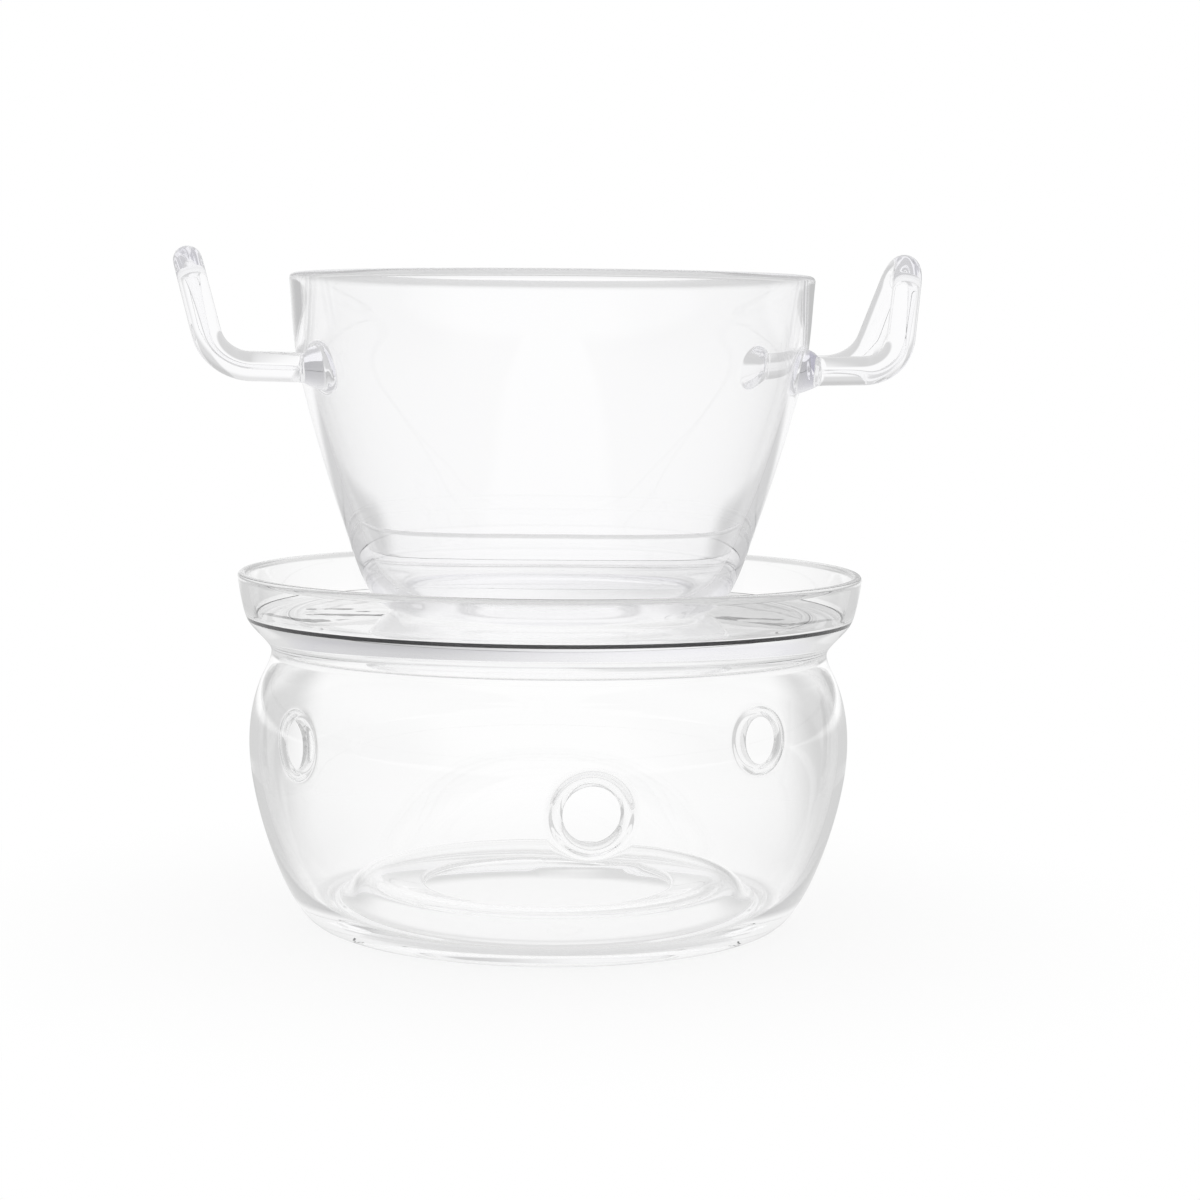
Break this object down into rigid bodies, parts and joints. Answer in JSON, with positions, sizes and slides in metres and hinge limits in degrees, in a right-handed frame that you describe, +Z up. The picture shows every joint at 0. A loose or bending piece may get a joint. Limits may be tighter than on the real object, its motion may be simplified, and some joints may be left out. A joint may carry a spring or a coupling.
{
  "type": "glass double boiler",
  "caption": "Clear glass bowl with bent-rod handles, standing on the shelf of a bellied glass warmer with round air vents and an open base.",
  "frame": {"origin": "on the floor, on the axis that both vessels share, at the bottom centre of the whole object", "axes": "+Z up; +X through the right handle, so the two handles lie along X; -Y towards the front vent"},
  "size_m": [0.1678, 0.1402, 0.1509],
  "materials": {
    "warmer_glass": "clear, smooth, fire polished",
    "bowl_glass": "clear, smooth, fire polished",
    "rod_glass": "clear solid rod, fire polished"
  },
  "bodies": {
    "warmer": {"warmer_body": "warmer_glass", "warmer_collar": "warmer_glass", "warmer_shelf": "warmer_glass", "base_flange": "warmer_glass", "front_vent_lip": "warmer_glass", "left_vent_lip": "warmer_glass", "right_vent_lip": "warmer_glass"},
    "bowl": {"bowl_body": "bowl_glass", "left_handle_rod": "rod_glass", "right_handle_rod": "rod_glass", "left_front_weld": "rod_glass", "left_back_weld": "rod_glass", "right_front_weld": "rod_glass", "right_back_weld": "rod_glass"}
  },
  "joints": [
    {"name": "bowl_lift", "type": "slide", "parent": "warmer", "child": "bowl", "axis": [0, 0, 1], "range_m": [0, 0.09]}
  ]
}
